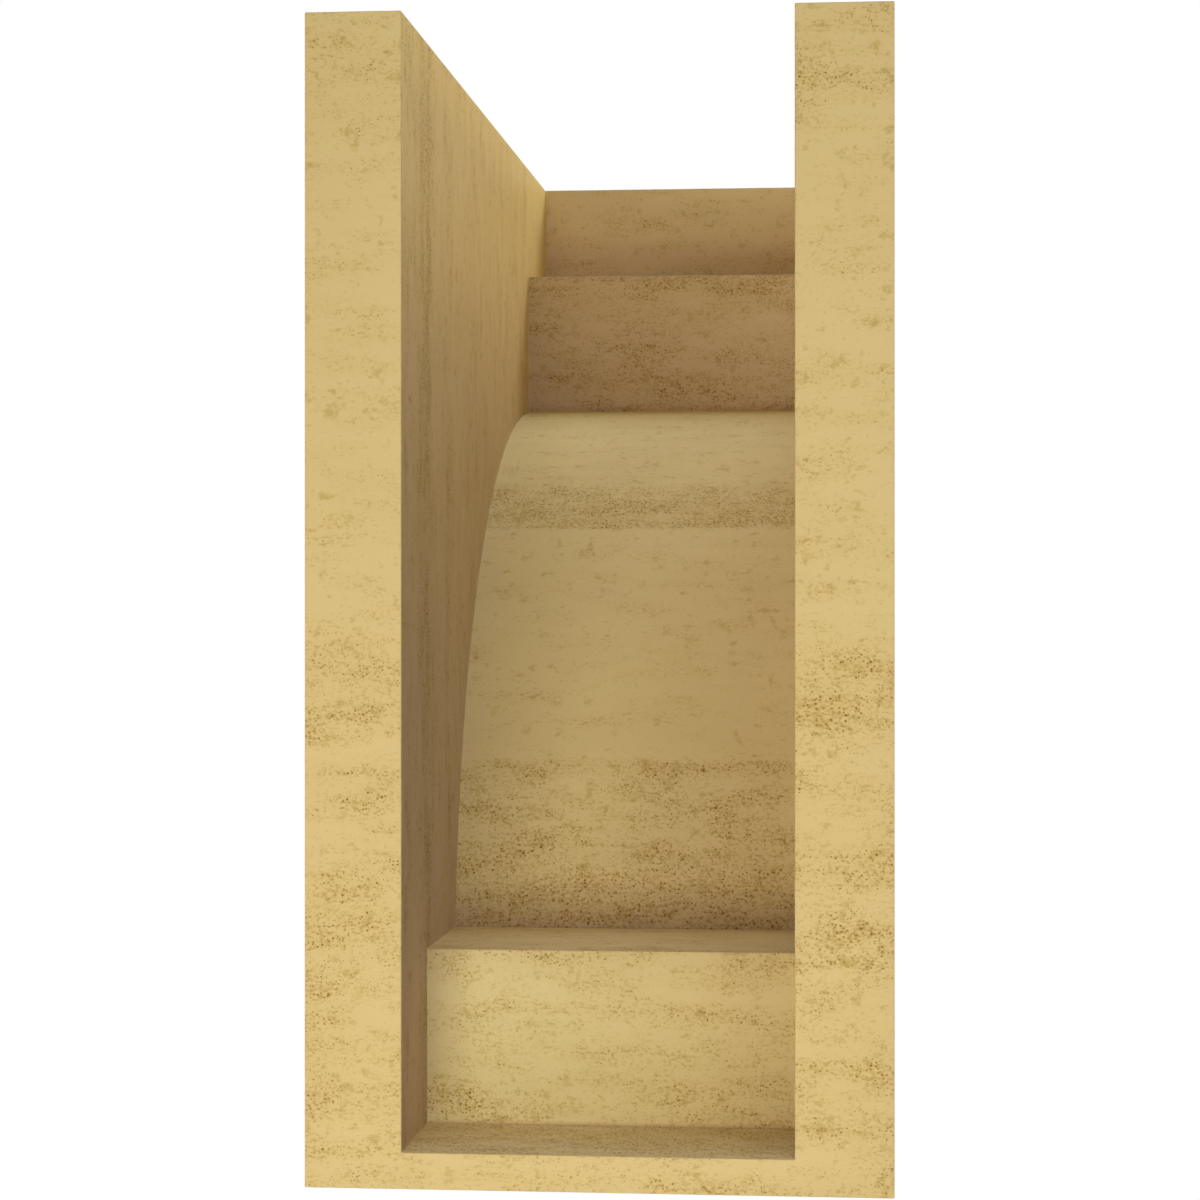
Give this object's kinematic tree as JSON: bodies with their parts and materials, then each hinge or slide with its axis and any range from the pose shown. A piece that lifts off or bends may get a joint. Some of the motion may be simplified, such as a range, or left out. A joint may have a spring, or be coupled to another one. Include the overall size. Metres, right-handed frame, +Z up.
{
  "type": "corbel",
  "caption": "Stepped cove corbel, hollow and open at the back and top, that slides over a block on the wall and carries a shelf or beam end.",
  "frame": {"origin": "on the wall face, in the middle of the width and of the strip below the hollow", "axes": "+X along the wall, +Y into the wall so the corbel projects towards -Y, +Z up"},
  "size_m": [0.1524, 0.3048, 0.3048],
  "materials": {
    "moulding": "matt golden cream with fine brown specks in loose bands, like filled travertine"
  },
  "bodies": {
    "root": {"corbel": "moulding"}
  },
  "joints": []
}
